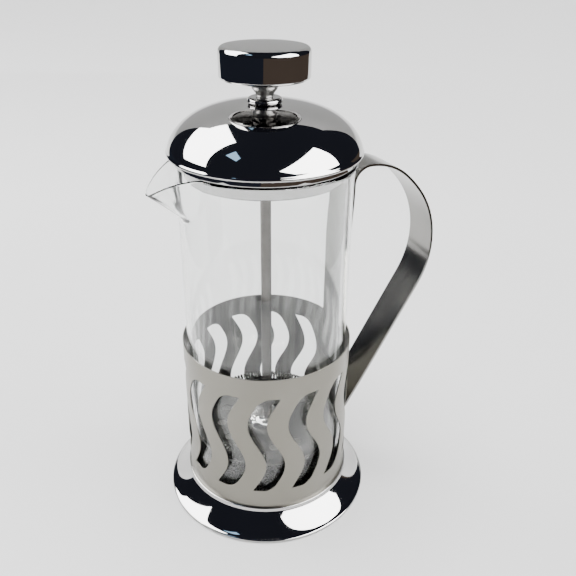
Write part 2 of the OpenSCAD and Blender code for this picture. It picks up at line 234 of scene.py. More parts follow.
finishes = {
    "polishedSteel": {"grain": (900, 900, 900), "cloudScale": 30, "dark": (0.44, 0.435, 0.43),
                      "light": (0.50, 0.495, 0.49), "roughLow": 0.02, "roughHigh": 0.05,
                      "bump": 0.02},
    "neckSteel": {"grain": (900, 900, 900), "cloudScale": 60, "dark": (0.40, 0.395, 0.385),
                  "light": (0.46, 0.455, 0.445), "roughLow": 0.30, "roughHigh": 0.38,
                  "bump": 0.05},
    "sleeveSteel": {"grain": (120, 120, 5200), "cloudScale": 25, "dark": (0.215, 0.205, 0.175),
                    "light": (0.25, 0.24, 0.21), "roughLow": 0.28, "roughHigh": 0.40,
                    "bump": 0.3},
    "handleSteel": {"grain": (160, 5200, 160), "cloudScale": 40, "dark": (0.21, 0.206, 0.195),
                    "light": (0.28, 0.275, 0.262), "roughLow": 0.12, "roughHigh": 0.20,
                    "bump": 0.15},
    "rodSteel": {"grain": (6000, 6000, 120), "cloudScale": 60, "dark": (0.105, 0.098, 0.092),
                 "light": (0.155, 0.146, 0.138), "roughLow": 0.16, "roughHigh": 0.26,
                 "bump": 0.15},
    "discSteel": {"grain": (1500, 1500, 1500), "cloudScale": 120, "dark": (0.30, 0.295, 0.28),
                  "light": (0.38, 0.375, 0.36), "roughLow": 0.22, "roughHigh": 0.32,
                  "bump": 0.10},
    "pressedSteel": {"grain": (1500, 1500, 1500), "cloudScale": 120, "dark": (0.10, 0.098, 0.094),
                     "light": (0.16, 0.157, 0.15), "roughLow": 0.10, "roughHigh": 0.20,
                     "bump": 0.10},
    "springWire": {"grain": (2500, 2500, 2500), "cloudScale": 200, "dark": (0.12, 0.118, 0.112),
                   "light": (0.22, 0.217, 0.21), "roughLow": 0.14, "roughHigh": 0.24,
                   "bump": 0.10},
}
steels = {name: steelMaterial(name, look) for name, look in finishes.items()}
# the inner wall, painted darker as shade between the sleeve and the glass, starts where the
# distance from the axis falls below the radius
sleeveInsideShade = {"radius": 33.8 * mm, "blend": 0.1 * mm, "detail": 3.0,
                "dark": (0.055, 0.054, 0.05), "light": (0.20, 0.195, 0.185),
                "streaks": (260, 260, 9)}


def paintInsideShade(material):
    # the sleeve's inner side is painted darker, as shade between the sleeve and the glass, with
    # streaks down the wall
    tree = material.node_tree
    look = sleeveInsideShade
    target = tree.nodes["Principled BSDF"].inputs["Base Color"]
    outside = target.links[0].from_socket
    place = tree.nodes.new("ShaderNodeTexCoord")
    flat = addNode(tree, "ShaderNodeMapping", Scale=(1, 1, 0))
    tree.links.new(place.outputs["Object"], flat.inputs["Vector"])
    reach = tree.nodes.new("ShaderNodeVectorMath")
    reach.operation = "LENGTH"
    tree.links.new(flat.outputs["Vector"], reach.inputs[0])
    shell = tree.nodes.new("ShaderNodeMapRange")
    shell.inputs["From Min"].default_value = look["radius"] - look["blend"]
    shell.inputs["From Max"].default_value = look["radius"]
    tree.links.new(reach.outputs["Value"], shell.inputs["Value"])
    lines = noise(tree, objectPattern(tree, look["streaks"]), 1.0, look["detail"])
    streaks = spread(tree, lines, 0, 1)
    # the inside colour is painted shade, much darker than the outside steel
    inside = colourBetween(tree, streaks, look["dark"], look["light"])
    both = tree.nodes.new("ShaderNodeMix")
    both.data_type = "RGBA"
    tree.links.new(shell.outputs["Result"], both.inputs["Factor"])
    tree.links.new(inside, both.inputs["A"])
    tree.links.new(outside, both.inputs["B"])
    tree.links.new(both.outputs["Result"], target)


paintInsideShade(steels["sleeveSteel"])


glassLook = {"colour": (0.985, 0.995, 0.99), "index": 1.47, "waves": (70, 70, 9),
             "waveStrength": 0.04, "waveDepth": 0.2 * mm, "shadow": (0.97, 0.98, 0.975)}


def glassMaterial():
    # blown glass: very faint waves, and lamp light passes straight through
    look = glassLook
    material, tree, shader = newMaterial("clearGlass")
    shader.inputs["Base Color"].default_value = (*look["colour"], 1)
    shader.inputs["Roughness"].default_value = 0.0
    shader.inputs["IOR"].default_value = look["index"]
    shader.inputs["Transmission Weight"].default_value = 1.0
    waves = noise(tree, objectPattern(tree, look["waves"]), 1.0, 1.0)
    addBump(tree, shader, waves, look["waveStrength"], look["waveDepth"])
    out = tree.nodes["Material Output"]
    path = tree.nodes.new("ShaderNodeLightPath")
    clear = addNode(tree, "ShaderNodeBsdfTransparent", Color=(*look["shadow"], 1))
    mix = tree.nodes.new("ShaderNodeMixShader")
    tree.links.new(path.outputs["Is Shadow Ray"], mix.inputs["Fac"])
    tree.links.new(shader.outputs["BSDF"], mix.inputs[1])
    tree.links.new(clear.outputs["BSDF"], mix.inputs[2])
    tree.links.new(mix.outputs["Shader"], out.inputs["Surface"])
    return material


screenLook = {"roughness": 0.32, "scale": 330.0, "openingShade": (0.012, 0.012, 0.012),
              "wire": (0.17, 0.166, 0.155), "bump": 0.8, "bumpDepth": 0.2 * mm}


def screenMaterial():
    # woven wire cloth: two crossed waves, with painted shade in the openings between the wires
    look = screenLook
    material, tree, shader = newMaterial("wovenWire")
    shader.inputs["Metallic"].default_value = 1.0
    shader.inputs["Roughness"].default_value = look["roughness"]
    spot = objectPattern(tree, (1, 1, 1))
    waves = []
    for direction in ("X", "Y"):
        wave = addNode(tree, "ShaderNodeTexWave", Scale=look["scale"], Distortion=0.0)
        wave.bands_direction = direction
        tree.links.new(spot, wave.inputs["Vector"])
        waves.append(wave.outputs["Fac"])
    both = tree.nodes.new("ShaderNodeMath")
    both.operation = "MAXIMUM"
    tree.links.new(waves[0], both.inputs[0])
    tree.links.new(waves[1], both.inputs[1])
    # the near-black colour between the wires is painted shade standing in for the openings
    wire = colourBetween(tree, both.outputs["Value"], look["openingShade"], look["wire"])
    tree.links.new(wire, shader.inputs["Base Color"])
    addBump(tree, shader, both.outputs["Value"], look["bump"], look["bumpDepth"])
    return material


plasticLook = {"speckle": 900, "detail": 2.0, "dark": (0.03, 0.03, 0.032),
               "light": (0.06, 0.06, 0.062), "roughLow": 0.45, "roughHigh": 0.6, "bump": 0.3,
               "bumpDepth": 0.05 * mm}


def plasticMaterial():
    look = plasticLook
    material, tree, shader = newMaterial("mouldedPlastic")
    speckle = noise(tree, objectPattern(tree, (1, 1, 1)), look["speckle"], look["detail"])
    base = colourBetween(tree, spread(tree, speckle, 0, 1), look["dark"], look["light"])
    tree.links.new(base, shader.inputs["Base Color"])
    rough = spread(tree, speckle, look["roughLow"], look["roughHigh"])
    tree.links.new(rough, shader.inputs["Roughness"])
    addBump(tree, shader, speckle, look["bump"], look["bumpDepth"])
    return material


glass = glassMaterial()
screen = screenMaterial()
plastic = plasticMaterial()
print("materials ready")


footShape = {"wall": 0.8 * mm, "lip": 0.7 * mm, "neck": 1.4 * mm, "hollow": 1.25, "points": 22,
             "rollFrom": 80, "rollTo": -170, "rollPoints": 14, "topIn": 0.15 * mm,
             "topOut": 0.3 * mm, "thinning": 0.9, "around": 200}


def makeFoot():
    shape = footShape
    inner = radiusOf("sleeve") + fit["touching"]
    outer = inner + shape["wall"]
    high = top("foot_ring")
    lip = shape["lip"]
    edge = radiusOf("foot_ring") - lip
    steps = shape["points"]

    def flare(inset):
        # the hollow side line from the neck out to the lip, moved inwards by inset
        line = []
        for i in range(steps + 1):
            s = i / steps
            r = outer - inset + (edge - outer) * s
            z = (high - shape["neck"]) * (1 - s) ** shape["hollow"] + 2 * lip * s
            line.append((r, z - shape["thinning"] * inset * s))
        return line

    roll = arc((edge, lip), lip, shape["rollFrom"], shape["rollTo"], shape["rollPoints"])
    under = [p for p in reversed(flare(shape["wall"]))
             if p[0] < edge - lip and p[1] > shape["thinning"] * lip]
    points = [(inner, high), (outer, high)] + flare(0)[:-1] + roll + under[:-1]
    bm = turned(points, corners=((0, shape["topIn"]), (1, shape["topOut"])), steps=shape["around"])
    makePiece("footPressing", bm, "holder", steels["polishedSteel"],
              ["foot_ring"])


slotShape = {"count": 12, "pitch": 26.6, "width": 7.5 * mm, "topBand": 8.55 * mm,
             "lowBand": 8.75 * mm, "swing": 3.6 * mm, "wave": 39 * mm, "wall": 0.5 * mm,
             "blunt": 3.4 * mm, "sharp": 0.4 * mm, "points": 36,
             "strips": 120, "edge": 0.09 * mm}


def slotWire(bm, middle, low, high):
    # one wave slot in the flat sheet, where x runs round the sleeve and z is height;
    # gives back its two pointed corners
    shape = slotShape
    half = (high - low) / 2
    last = shape["points"]
    rows = [half * math.sin(math.pi * (i / last - 0.5)) for i in range(last + 1)]

    def blunted(h):
        # how far the slot's blunt side steps in near its end
        over = max(0, h - half + shape["blunt"])
        return shape["blunt"] - math.sqrt(shape["blunt"] ** 2 - over * over)

    def line(side, heights):
        return [(middle - shape["swing"] * math.sin(fullTurn * h / shape["wave"])
                 + side * (shape["width"] / 2 - blunted(-side * h)), low + half + h)
                for h in heights]

    verts, _ = sideWire(bm, line(-1, rows) + line(1, rows[::-1]))
    return [verts[0], verts[last + 1]]


def facesOut(face):
    # above zero where the face looks away from the axis
    middle = face.calc_center_median()
    return face.normal.x * middle.x + face.normal.y * middle.y


def makeSleeve():
    shape = slotShape
    radius = radiusOf("sleeve")
    low, high = bottom("sleeve"), top("sleeve")
    girth = fullTurn * radius
    bm = bmesh.new()
    sideWire(bm, [(0, low), (girth, low), (girth, high), (0, high)])
    slotLow = top("foot_ring") + shape["lowBand"]
    slotHigh = high - shape["topBand"]
    pointed = []
    for i in range(shape["count"]):
        turn = 180 + (i - (shape["count"] - 1) / 2) * shape["pitch"]
        pointed += slotWire(bm, girth * turn / 360, slotLow, slotHigh)
    roundCorners(bm, pointed, shape["sharp"], 3)
    bmesh.ops.triangle_fill(bm, use_beauty=True, use_dissolve=False, edges=bm.edges[:],
                            normal=(0, -1, 0))
    for i in range(1, shape["strips"]):
        bmesh.ops.bisect_plane(bm, geom=bm.verts[:] + bm.edges[:] + bm.faces[:],
                               dist=fit["mergeFine"], plane_no=(1, 0, 0),
                               plane_co=(girth * i / shape["strips"], 0, 0))
    for vert in bm.verts:
        turn = fullTurn * vert.co.x / girth
        vert.co = (radius * math.cos(turn), radius * math.sin(turn), vert.co.z)
    bmesh.ops.remove_doubles(bm, verts=bm.verts[:], dist=fit["mergeSeam"])
    bmesh.ops.recalc_face_normals(bm, faces=bm.faces[:])
    if sum(facesOut(face) for face in bm.faces) < 0:
        bmesh.ops.reverse_faces(bm, faces=bm.faces[:])
    piece = makePiece("sleeveSheet", bm, "holder", steels["sleeveSteel"],
                      ["sleeve"])
    addSolidify(piece, shape["wall"], -1)
    addBevel(piece, shape["edge"])


# shrink thins the strip so that its true arc stays inside the straight pieces of the CAD's arc;
# hugFrom and hugOver say where the strap stops following the round wall, measured down from
# the middle of the top bend
handleShape = {"thick": 1.0 * mm, "bend": 7.5 * mm, "upper": 25.5 * mm,
               "upperTurn": 40.5, "back": 55 * mm, "backTurn": 11.1, "lower": 38.2 * mm,
               "tabRise": 18.35 * mm, "tabBend": 4 * mm, "columns": 10, "step": 0.2 * mm,
               "shrink": 0.96, "strapLap": 21.6 * mm, "strapPoints": 24, "hugFrom": 26 * mm,
               "hugOver": 24 * mm, "straightPoints": 14, "tabCurl": 0.28, "tabPoints": 4,
               "corner": 2.2 * mm, "edge": 0.16 * mm, "sharp": 80}


def polar(centre, radius, angle):
    turn = math.radians(angle)
    return (centre[0] + radius * math.cos(turn), centre[1] + radius * math.sin(turn))


def handlePath():
    # middle line of the strip in the side view, with how far each point is bent to the wall
    shape = handleShape
    half = shape["thick"] / 2
    sleeve = radiusOf("sleeve")
    strapX = sleeve - slotShape["wall"] - half
    high = top("handle")
    bend = (strapX - half + shape["step"] + shape["bend"], high - shape["bend"])
    upper = (bend[0], high - shape["upper"])
    upperEnd = 90 - shape["upperTurn"]
    back = polar(upper, shape["upper"] - shape["back"], upperEnd)
    backEnd = upperEnd - shape["backTurn"]
    lower = polar(back, shape["back"] - shape["lower"], backEnd)
    tabX = sleeve + half + fit["touching"]
    tab = (sleeve + shape["thick"] + shape["step"] + shape["tabBend"],
           top("foot_ring") + shape["tabRise"])
    toTab = (tab[0] - lower[0], tab[1] - lower[1])
    lowEnd = math.degrees(math.atan2(toTab[1], toTab[0])
                          + math.acos((shape["lower"] + shape["tabBend"]) / math.hypot(*toTab)))
    low = bottom("handle")
    path = []
    strapLow = top("sleeve") - shape["strapLap"]
    for i in range(shape["strapPoints"]):
        s = i / shape["strapPoints"]
        z = strapLow + (bend[1] - strapLow) * s
        hug = 1 - smooth((z - (bend[1] - shape["hugFrom"])) / shape["hugOver"])
        path.append(((strapX + shape["step"] * (1 - hug), z), hug))
    loop = arc(bend, shape["bend"] - half, 180, 90, 14)
    loop += arc(upper, shape["upper"] - half, 90, upperEnd, 16)[1:]
    loop += arc(back, shape["back"] - half, upperEnd, backEnd, 8)[1:]
    loop += arc(lower, shape["lower"] - half, backEnd, lowEnd, 20)[1:]
    path += [(point, 0) for point in loop]
    start = path[-1][0]
    bendLine = arc(tab, shape["tabBend"] + half, 180 + lowEnd, 180, 8)
    end = bendLine[0]
    for i in range(1, shape["straightPoints"]):
        s = i / shape["straightPoints"]
        point = (start[0] + (end[0] - start[0]) * s, start[1] + (end[1] - start[1]) * s)
        late = (s - (1 - shape["tabCurl"])) / shape["tabCurl"]
        path.append((point, smooth(late) * 0.5))
    for i, point in enumerate(bendLine):
        s = i / (len(bendLine) - 1)
        path.append(((point[0] - (point[0] - tabX) * s * 0.999, point[1]), 0.5 + 0.5 * smooth(s)))
    for i in range(1, shape["tabPoints"] + 1):
        path.append(((tabX, tab[1] + (low - tab[1]) * i / shape["tabPoints"]), 1))
    return path


def makeHandle():
    shape = handleShape
    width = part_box("handle")[1].y * 2
    path = handlePath()
    columns = shape["columns"]
    bm = bmesh.new()

    def rowPlaces(point, hug):
        # one row across the strip, curved to the round wall where it hugs it
        places = []
        for i in range(columns + 1):
            y = width * (i / columns - 0.5)
            sag = point[0] - math.sqrt(max(point[0] ** 2 - y * y, 0))
            places.append(Vector((point[0] - sag * hug, y, point[1])))
        return places

    verts = [bm.verts.new(place) for place in rowPlaces(*path[0])]
    edges = [bm.edges.new(pair) for pair in zip(verts, verts[1:])]
    for point, hug in path[1:]:
        grown = bmesh.ops.extrude_edge_only(bm, edges=edges)["geom"]
        verts = [g for g in grown if isinstance(g, bmesh.types.BMVert)]
        verts.sort(key=lambda v: v.co.y)
        edges = [g for g in grown if isinstance(g, bmesh.types.BMEdge)
                 and g.verts[0] in verts and g.verts[1] in verts]
        for vert, place in zip(verts, rowPlaces(point, hug)):
            vert.co = place
    corners = [v for v in bm.verts if len(v.link_edges) == 2]
    bmesh.ops.bevel(bm, geom=corners, offset=shape["corner"], affect="VERTICES", segments=5,
                    profile=0.5, material=-1, clamp_overlap=True)
    bmesh.ops.recalc_face_normals(bm, faces=bm.faces[:])
    piece = makePiece("handleStrip", bm, "holder", steels["handleSteel"],
                      ["handle"], sharp=shape["sharp"])
    addSolidify(piece, shape["thick"] * shape["shrink"], 0)
    addBevel(piece, shape["edge"], 3)


makeFoot()
makeSleeve()
makeHandle()
print("holder made")


beakerShape = {"wall": 1.8 * mm, "floor": 2.2 * mm, "flare": 1.2 * mm, "flareHigh": 9 * mm,
               "outCorner": 5 * mm, "inCorner": 4 * mm, "spoutDrop": 8.0 * mm,
               "spoutHalf": 15.5 * mm, "spoutRoot": 18.5 * mm, "spoutNose": 0.2,
               "spoutFade": 1.08, "spoutDip": 1.7, "spoutTaper": 0.25, "spoutBody": 0.75,
               "fineRows": 22 * mm, "steps": 288,
               "crowd": 0.55, "sharp": 60}


def wallLine(radius, low, high, steps):
    # the side of the glass with its flared rim, rows closer together near the rim
    shape = beakerShape
    line = []
    for i in range(steps + 1):
        z = low + (high - low) * (i / steps)
        lift = max(0, (z - top("beaker") + shape["flareHigh"]) / shape["flareHigh"])
        line.append((radius + shape["flare"] * lift * lift, z))
    return line


def pullSpout(vert, outerRadius, rim, reach):
    # draws the rim outwards and down into a pouring spout at -X
    shape = beakerShape
    depth = max(0, (rim - vert.co.z) / shape["spoutRoot"])
    if depth > 1 or vert.co.x > 0:
        return
    half = shape["spoutHalf"] * (1 - depth) ** shape["spoutTaper"] + fit["merge"]
    across = abs(vert.co.y) / half
    if across >= 1:
        return
    nose = shape["spoutNose"]
    lean = (math.hypot(1, nose) - math.hypot(across, nose)) / (math.hypot(1, nose) - nose)
    pull = lean * (shape["spoutBody"] + (1 - shape["spoutBody"]) * smooth(lean * 1.5))
    radius = math.hypot(vert.co.x, vert.co.y)
    over = max(0, radius - outerRadius)
    grown = radius + (reach - over) * pull * (1 - depth) ** shape["spoutFade"]
    vert.co.x *= grown / radius
    vert.co.z -= shape["spoutDrop"] * (1 - depth) * lean ** shape["spoutDip"]


def makeBeaker():
    shape = beakerShape
    base, rim = bottom("beaker"), top("beaker")
    outer = radiusOf("beaker") - shape["flare"]
    inner = outer - shape["wall"]
    floor = base + shape["floor"]
    out, into = shape["outCorner"], shape["inCorner"]
    split = rim - shape["fineRows"]
    wall = shape["wall"] / 2
    lip = arc((outer + shape["flare"] - wall, rim - wall), wall, 0, 180, 10)
    points = [(0, base)] + arc((outer - out, base + out), out, -90, 0, 10)
    points += wallLine(outer, base + out, split, 10)[1:]
    points += wallLine(outer, split, rim - wall, 26)[1:-1] + lip
    points += wallLine(inner, split, rim - wall, 26)[-2::-1]
    points += wallLine(inner, floor + into, split, 10)[-2::-1][:-1]
    points += arc((inner - into, floor + into), into, 0, -90, 10) + [(0, floor)]
    bm = bmesh.new()
    sideWire(bm, points, closed=False)
    spinRound(bm, shape["steps"])
    # crowd the columns towards the spout
    for vert in bm.verts:
        radius = math.hypot(vert.co.x, vert.co.y)
        if radius > fit["merge"]:
            turn = math.atan2(-vert.co.y, -vert.co.x)
            turn -= shape["crowd"] * math.sin(turn)
            vert.co.x, vert.co.y = -radius * math.cos(turn), -radius * math.sin(turn)
    reach = -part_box("beaker")[0].x - outer
    for vert in bm.verts:
        pullSpout(vert, outer, rim, reach)
    makePiece("glassBeaker", bm, "glass", glass, ["beaker"], sharp=shape["sharp"])


makeBeaker()
print("glass made")


lidShape = {"wall": 0.7 * mm, "bead": 0.85 * mm, "full": 2.9, "round": 1.7, "inset": 0.3 * mm,
            "flat": 8.2 * mm, "hole": 4.1 * mm, "points": 40, "topEdge": 0.2 * mm,
            "flatStart": 0.6, "beadCut": 0.8, "around": 240, "sharp": 50}


def domeLine(base, rise, beadZ):
    # the dome's side line, from just inside its flat crown out to the rim
    shape = lidShape
    start = shape["flat"] * shape["flatStart"]
    line = []
    for i in range(shape["points"] + 1):
        s = math.sin(math.pi / 2 * i / shape["points"])
        r = start + (base - start) * s
        z = beadZ + rise * max(0, 1 - (r / base) ** shape["full"]) ** (1 / shape["round"])
        line.append((r, z))
    return line


def makeDome():
    shape = lidShape
    lidR = radiusOf("lid_dome")
    beadZ = bottom("lid_dome") + shape["bead"]
    baseR = lidR - shape["inset"]
    crown = top("lid_dome")
    flatShare = 1 - (shape["flat"] / baseR) ** shape["full"]
    rise = (crown - beadZ) / flatShare ** (1 / shape["round"])
    outer = [p for p in domeLine(baseR, rise, beadZ) if p[1] <= crown]
    inner = [p for p in domeLine(baseR - shape["wall"], rise - shape["wall"], beadZ)
             if p[1] <= crown - shape["wall"]]
    low = beadZ + shape["bead"] * shape["beadCut"]
    outer = [p for p in outer if p[1] > low]
    inner = [p for p in inner if p[1] > low]
    bead = arc((lidR - shape["bead"], beadZ), shape["bead"], 50, -215, 18)
    points = [(shape["hole"], crown)] + outer + bead + inner[::-1]
    points += [(shape["hole"], crown - shape["wall"])]
    bm = turned(points, corners=((0, shape["topEdge"]),), steps=shape["around"])
    makePiece("lidDome", bm, "lid", steels["polishedSteel"], ["lid_dome"],
              sharp=shape["sharp"])


# corners as (point of the outline, radius)
panShape = {"rodGap": 0.4 * mm, "collarGap": 1.0 * mm, "rimInset": 0.2 * mm,
            "flangeInset": 0.6 * mm, "around": 200,
            "corners": ((1, 1.0 * mm), (2, 0.4 * mm), (3, 0.5 * mm), (8, 0.3 * mm),
                        (9, 0.6 * mm), (10, 0.4 * mm))}


def makePan():
    shape = panShape
    wall = lidShape["wall"]
    floor = bottom("lid_pan")
    rim = top("beaker")
    hole = radiusOf("plunger_rod") + shape["rodGap"]
    collar = radiusOf("beaker") - beakerShape["flare"] - beakerShape["wall"] - shape["collarGap"]
    step = radiusOf("beaker") - shape["rimInset"]
    flange = radiusOf("lid_dome") - lidShape["bead"] - shape["flangeInset"]
    high = top("lid_pan")
    under = rim + fit["touching"]
    points = [(hole, floor), (collar, floor), (collar, under), (step, under), (step, high - wall),
              (flange, high - wall), (flange, high),
              (step - wall, high), (step - wall, under + wall), (collar - wall, under + wall),
              (collar - wall, floor + wall), (hole, floor + wall)]
    bm = turned(points, shape["corners"], steps=shape["around"])
    makePiece("lidPan", bm, "lid", steels["polishedSteel"], ["lid_pan"])


bushShape = {"shank": 4.0 * mm, "ring": 2.2 * mm, "clear": 0.06 * mm, "mouth": 0.5 * mm,
             "mouthDeep": 0.4 * mm, "lowEdge": 0.3 * mm, "around": 120}


def makeBush():
    shape = bushShape
    bore = radiusOf("plunger_rod") + shape["clear"]
    crown = top("lid_dome")
    low = bottom("guide_bush")
    outer = radiusOf("guide_bush")
    half = shape["ring"] / 2
    points = [(bore, low), (shape["shank"], low), (shape["shank"], crown)]
    points += arc((outer - half, crown + half), half, -90, 90, 14)
    points += [(bore + shape["mouth"], crown + 2 * half),
               (bore, crown + 2 * half - shape["mouthDeep"])]
    bm = turned(points, corners=((1, shape["lowEdge"]),), steps=shape["around"])
    makePiece("guideBush", bm, "lid", steels["polishedSteel"], ["guide_bush"])


makeDome()
makePan()
makeBush()
print("lid made")


knobShape = {"wall": 0.8 * mm, "topRound": 1.8 * mm, "lowRound": 1.1 * mm, "turnIn": 2.2 * mm,
             "crown": 0.25 * mm, "around": 200}


def makeKnob():
    shape = knobShape
    radius = radiusOf("knob_shell")
    low, high = bottom("knob_shell"), top("knob_shell")
    wall = shape["wall"]
    topR, lowR = shape["topRound"], shape["lowRound"]
    crowned = [(radius * s, high - shape["crown"] * s * s) for s in (0, 0.2, 0.4, 0.6, 0.8)]
    edge = arc((radius - topR, high - shape["crown"] - topR), topR, 88, 0, 12)
    turnedIn = arc((radius - lowR, low + lowR), lowR, 0, -90, 8)
    points = crowned + edge + turnedIn + [(radius - shape["turnIn"], low),
                                          (radius - shape["turnIn"], low + wall)]
    points += arc((radius - lowR, low + lowR), lowR - wall, -90, 0, 4)
    points += arc((radius - topR, high - shape["crown"] - topR), topR - wall, 0, 88, 8)
    points += [(0, high - wall)]
    bm = bmesh.new()
    sideWire(bm, points, closed=False)
    spinRound(bm, shape["around"])
    makePiece("knobShell", bm, "plunger", steels["polishedSteel"],
              ["knob_shell"])


neckShape = {"foot": 0.3 * mm, "cup": 3.6 * mm, "wall": 0.95 * mm, "flare": 1.8 * mm,
             "points": 16, "lowEdge": 0.25 * mm, "around": 120}


def makeNeck():
    shape = neckShape
    bore = rodBore()
    low, high = bottom("knob_neck"), top("knob_neck")
    lowR = radiusOf("plunger_rod") + shape["wall"]
    points = [(bore, low), (lowR, low)]
    for i in range(shape["points"] + 1):
        s = i / shape["points"]
        points.append((lowR + shape["flare"] * (1 - math.cos(math.pi * s)) / 2,
                       low + shape["foot"] + shape["cup"] * s))
    points += [(lowR + shape["flare"], high), (bore, high)]
    bm = turned(points, corners=((1, shape["lowEdge"]),), steps=shape["around"])
    makePiece("knobNeck", bm, "plunger", steels["neckSteel"], ["knob_neck"])


rodShape = {"endEdge": 0.35 * mm, "around": 64}


def makeRod():
    radius = radiusOf("plunger_rod")
    low, high = bottom("plunger_rod"), top("plunger_rod")
    soft = rodShape["endEdge"]
    points = [(0, low), (radius - soft, low), (radius, low + soft)]
    points += [(radius, low + (high - low) * s) for s in (0.25, 0.5, 0.75)]
    points += [(radius, high - soft), (radius - soft, high), (0, high)]
    bm = bmesh.new()
    sideWire(bm, points, closed=False)
    spinRound(bm, rodShape["around"])
    makePiece("plungerRod", bm, "plunger", steels["rodSteel"], ["plunger_rod"])


hubShape = {"fullness": 0.9, "points": 16, "around": 140}


def makeHub():
    shape = hubShape
    low, high = bottom("hub_cap"), top("hub_cap")
    radius = radiusOf("hub_cap")
    bore = rodBore()
    rise = high - low
    points = [(bore, low), (radius, low)]
    for i in range(1, shape["points"] + 1):
        turn = math.pi / 2 * (i / shape["points"])
        r = bore + (radius - bore) * math.cos(turn)
        points.append((r, low + rise * math.sin(turn) ** shape["fullness"]))
    bm = turned(points, steps=shape["around"])
    makePiece("hubCap", bm, "plunger", steels["polishedSteel"], ["hub_cap"])


coilShape = {"coilR": 2.1 * mm, "wireR": 0.42 * mm, "turns": 118, "pointsPerTurn": 14,
             "sharp": 89}


def flatPlate(outer, bore, holes, ringR, holeR, high):
    # a round sheet with a bore and a ring of holes
    bm = bmesh.new()
    circleWire(bm, (0, 0, high), outer, 128)
    circleWire(bm, (0, 0, high), bore, 32)
    for i in range(holes):
        turn = fullTurn * (i + 0.5) / holes
        circleWire(bm, (ringR * math.cos(turn), ringR * math.sin(turn), high), holeR, 28)
    bmesh.ops.triangle_fill(bm, use_beauty=True, use_dissolve=False, edges=bm.edges[:],
                            normal=(0, 0, 1))
    for face in bm.faces:
        if face.normal.z < 0:
            face.normal_flip()
    return bm


def coilMiddle():
    return radiusOf("coil_spring") - coilShape["coilR"]


plateShape = {"holes": 12, "holeR": 2.2 * mm, "holeInset": 8.4 * mm, "thick": 0.7 * mm,
              "edge": 0.2 * mm, "wallGap": 0.15 * mm, "wallSink": 0.05 * mm,
              "wallEdge": 0.25 * mm, "around": 160}


def makeSpringPlate():
    # the flat plate with its holes, and the upright wall inside the coil
    shape = plateShape
    bore = rodBore()
    low = bottom("spring_plate")
    plate = shape["thick"]
    middle = coilMiddle()
    bm = flatPlate(radiusOf("spring_plate"), bore, shape["holes"], middle - shape["holeInset"],
                   shape["holeR"], low + plate)
    piece = makePiece("springPlate", bm, "plunger", steels["pressedSteel"],
                      ["spring_plate"])
    addSolidify(piece, plate, -1)
    addBevel(piece, shape["edge"], 3)
    wallR = middle - coilShape["coilR"] - shape["wallGap"]
    wallLow, high = low + plate - shape["wallSink"], top("spring_plate")
    points = [(wallR - plate, wallLow), (wallR, wallLow), (wallR, high), (wallR - plate, high)]
    ring = turned(points, corners=((2, shape["wallEdge"]), (3, shape["wallEdge"])),
                  steps=shape["around"])
    makePiece("springPlateWall", ring, "plunger", steels["pressedSteel"])


def makeCoil():
    # the spring's real wire, wound round the filter's edge
    shape = coilShape
    middle = coilMiddle()
    lift = (bottom("coil_spring") + top("coil_spring")) / 2
    wound = shape["coilR"] - shape["wireR"]
    curve = bpy.data.curves.new("coilLine", "CURVE")
    curve.dimensions = "3D"
    curve.bevel_depth = shape["wireR"]
    curve.bevel_resolution = 1
    line = curve.splines.new("POLY")
    count = shape["turns"] * shape["pointsPerTurn"]
    line.points.add(count - 1)
    line.use_cyclic_u = True
    for i in range(count):
        way = fullTurn * i / count
        twist = fullTurn * i / shape["pointsPerTurn"]
        r = middle + wound * math.cos(twist)
        z = lift + wound * math.sin(twist)
        line.points[i].co = (r * math.cos(way), r * math.sin(way), z, 1)
    holder = bpy.data.objects.new("coilLine", curve)
    bpy.context.scene.collection.objects.link(holder)
    bpy.context.view_layer.update()
    bm = bmesh.new()
    bm.from_mesh(holder.to_mesh())
    bpy.data.objects.remove(holder)
    bpy.data.curves.remove(curve)
    bmesh.ops.remove_doubles(bm, verts=bm.verts[:], dist=fit["mergeFine"])
    bmesh.ops.recalc_face_normals(bm, faces=bm.faces[:])
    makePiece("coilSpring", bm, "plunger", steels["springWire"],
              ["coil_spring"], sharp=shape["sharp"])


screenShape = {"edge": 0.18 * mm, "around": 160}


def makeScreen():
    edge = screenShape["edge"]
    low, high = bottom("mesh_screen"), top("mesh_screen")
    radius = radiusOf("mesh_screen")
    bore = rodBore()
    points = [(bore, low), (radius, low), (radius, high), (bore, high)]
    bm = turned(points, corners=((1, edge), (2, edge)), steps=screenShape["around"])
    makePiece("wireScreen", bm, "plunger", screen, ["mesh_screen"])


crossShape = {"holes": 6, "rim": 4.85 * mm, "thick": 0.7 * mm, "edge": 0.15 * mm}


def makeCrossPlate():
    shape = crossShape
    outer = radiusOf("cross_plate")
    boss = radiusOf("lower_boss")
    bore = rodBore()
    bm = flatPlate(outer, bore, shape["holes"], (outer + boss) / 2,
                   (outer - boss) / 2 - shape["rim"], top("cross_plate"))
    piece = makePiece("crossPlate", bm, "plunger", steels["pressedSteel"],
                      ["cross_plate"])
    addSolidify(piece, shape["thick"], -1)
    addBevel(piece, shape["edge"])


bossShape = {"lowEdge": 0.3 * mm, "rimEdge": 0.6 * mm, "around": 96}


def makeBoss():
    shape = bossShape
    radius = radiusOf("lower_boss")
    bore = rodBore()
    low, high = bottom("lower_boss"), top("lower_boss")
    points = [(bore, low), (radius, low), (radius, high), (bore, high)]
    bm = turned(points, corners=((1, shape["rimEdge"]), (0, shape["lowEdge"])),
                steps=shape["around"])
    makePiece("lowerBoss", bm, "plunger", steels["rodSteel"], ["lower_boss"])


makeKnob()
makeNeck()
makeRod()
makeHub()
makeSpringPlate()
makeCoil()
makeScreen()
makeCrossPlate()
makeBoss()
print("plunger made")

